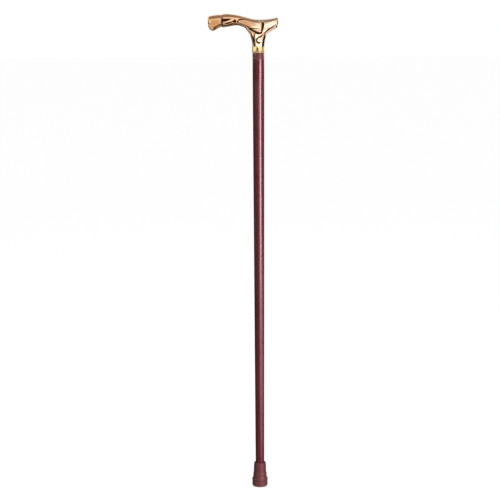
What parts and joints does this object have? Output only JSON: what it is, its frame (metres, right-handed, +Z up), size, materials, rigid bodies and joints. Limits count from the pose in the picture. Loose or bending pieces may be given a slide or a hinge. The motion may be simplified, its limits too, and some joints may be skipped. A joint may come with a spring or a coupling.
{
  "type": "walking cane",
  "caption": "Straight walking cane with a cast scroll-relief handle, a turned collar, a tapered lacquered shaft and a rubber ferrule that pulls off its foot.",
  "frame": {"origin": "centre of the ferrule's flat ground face, on the shaft's axis", "axes": "+Z up the shaft from the ground to the handle, +X the way the handle's short prow points, so the long arm runs to -X; the handle is alike on its two sides, +Y and -Y"},
  "size_m": [0.1312, 0.0308, 0.9141],
  "materials": {
    "gilt_metal": "cast alloy, polished and plated pale gold, with a darkened ground in its relief",
    "collar_brass": "turned and polished",
    "insert_brass": "as machined",
    "steel": "zinc plated",
    "nylon": "natural nylon",
    "lacquered_wood": "hardwood in burgundy satin-gloss lacquer",
    "foot_rubber": "moulded, matte"
  },
  "bodies": {
    "cane": {"handle_casting": "gilt_metal", "handle_cap": "gilt_metal", "collar": "collar_brass", "seat_washer": "nylon", "threaded_stud": "steel", "shaft_insert": "insert_brass", "shaft": "lacquered_wood"},
    "ferrule": {"ferrule": "foot_rubber", "ferrule_disc": "steel"}
  },
  "joints": [
    {"name": "ferrule_pull", "type": "slide", "parent": "cane", "child": "ferrule", "axis": [0, 0, -1], "range_m": [0, 0.04]}
  ]
}
